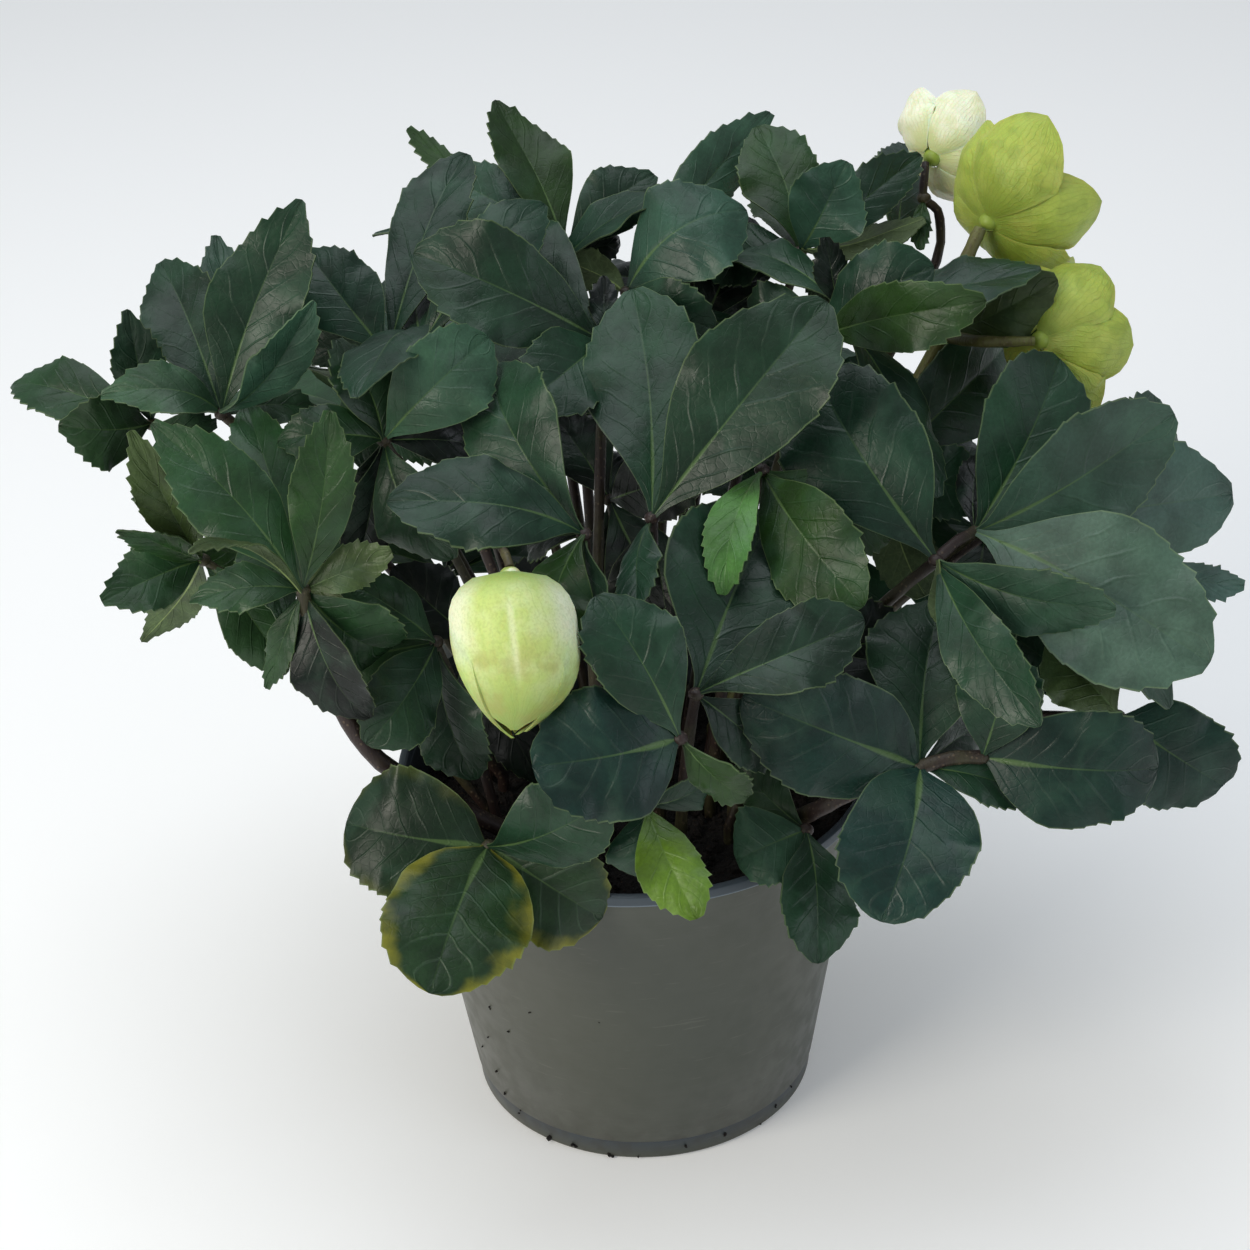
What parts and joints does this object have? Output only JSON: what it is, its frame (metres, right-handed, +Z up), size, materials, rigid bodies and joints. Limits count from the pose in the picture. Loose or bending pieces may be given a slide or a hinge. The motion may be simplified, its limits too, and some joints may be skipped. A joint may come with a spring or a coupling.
{
  "type": "hellebore plant",
  "caption": "Hellebore in a round nursery pot: a low clump of toothed, leathery, hand-shaped leaves on stalks, with lime and cream blooms and a nodding bud.",
  "frame": {"origin": "centre of the pot's underside, where it rests", "axes": "+Z up along the pot's axis, -Y towards the viewer of the picture, +X to that viewer's right"},
  "size_m": [0.4361, 0.337, 0.3297],
  "materials": {
    "pot_plastic": "satin",
    "potting_soil": "matt",
    "leaf_green": "satin, leathery",
    "sepal_lime": "soft satin",
    "sepal_cream": "soft satin",
    "stem_olive": "satin"
  },
  "bodies": {
    "root": {"bloom_large": "sepal_lime", "bloom_lower": "sepal_lime", "bloom_pale": "sepal_cream", "bud": "sepal_cream", "bud_stem": "stem_olive", "flower_stem_back": "stem_olive", "flower_stem_right": "stem_olive", "leaf_back_01": "leaf_green", "leaf_back_02": "leaf_green", "leaf_back_03": "leaf_green", "leaf_back_04": "leaf_green", "leaf_back_05": "leaf_green", "leaf_back_06": "leaf_green", "leaf_back_07": "leaf_green", "leaf_back_08": "leaf_green", "leaf_back_09": "leaf_green", "leaf_back_10": "leaf_green", "leaf_back_11": "leaf_green", "leaf_back_12": "leaf_green", "leaf_far_left": "leaf_green", "leaf_far_right_low": "leaf_green", "leaf_front_low": "leaf_green", "leaf_front_right": "leaf_green", "leaf_high_right": "leaf_green", "leaf_inner_left": "leaf_green", "leaf_inner_middle": "leaf_green", "leaf_inner_right": "leaf_green", "leaf_inner_top": "leaf_green", "leaf_left_front": "leaf_green", "leaf_left_high": "leaf_green", "leaf_left_inner": "leaf_green", "leaf_left_low": "leaf_green", "leaf_left_tall": "leaf_green", "leaf_left_under": "leaf_green", "leaf_middle_high": "leaf_green", "leaf_middle_left": "leaf_green", "leaf_middle_right": "leaf_green", "leaf_right_big": "leaf_green", "leaf_right_edge": "leaf_green", "leaf_right_inner": "leaf_green", "leaf_right_low": "leaf_green", "leaf_rim_left": "leaf_green", "leaf_rim_middle": "leaf_green", "leaf_rim_right": "leaf_green", "leaf_top_left": "leaf_green", "leaf_top_middle": "leaf_green", "leaf_top_right": "leaf_green", "leaf_upper_left_big": "leaf_green", "pot": "pot_plastic", "soil": "potting_soil"}
  },
  "joints": []
}
